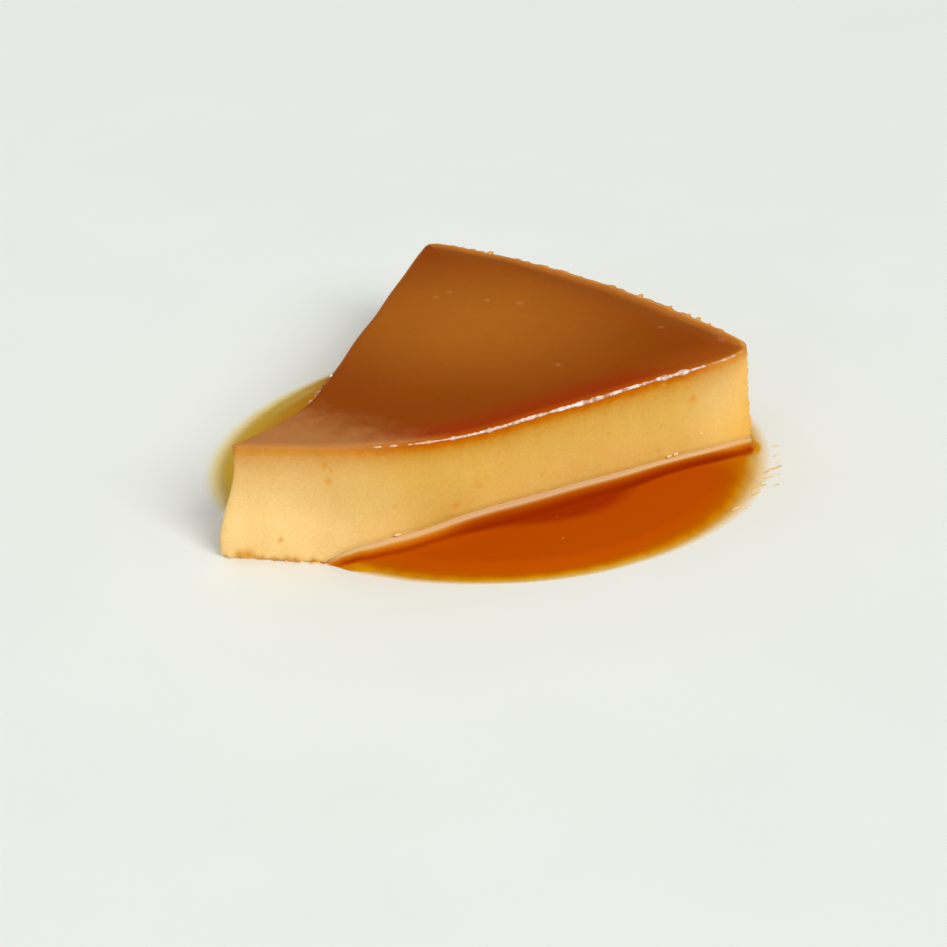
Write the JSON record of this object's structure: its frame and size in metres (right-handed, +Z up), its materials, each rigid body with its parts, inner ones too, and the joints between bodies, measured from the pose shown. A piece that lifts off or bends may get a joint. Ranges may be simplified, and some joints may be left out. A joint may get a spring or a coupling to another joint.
{
  "type": "flan napolitano slice",
  "caption": "Wedge of baked custard with a caramel-soaked top, standing in a shallow pool of caramel syrup.",
  "frame": {"origin": "on the ground, under the middle of the whole's footprint", "axes": "+X along the slice from its tip to the side baked against the pan, +Z up, +Y towards the side that the tip swerves to"},
  "size_m": [0.1322, 0.119, 0.025],
  "materials": {
    "custard": "moist baked custard, satin, translucent, pale yellow",
    "caramel": "caramel-soaked custard, satin gloss, brown",
    "syrup": "clear caramel syrup, wet gloss, amber"
  },
  "bodies": {
    "root": {"custard": "custard", "caramel_layer": "caramel", "syrup": "syrup"}
  },
  "joints": []
}
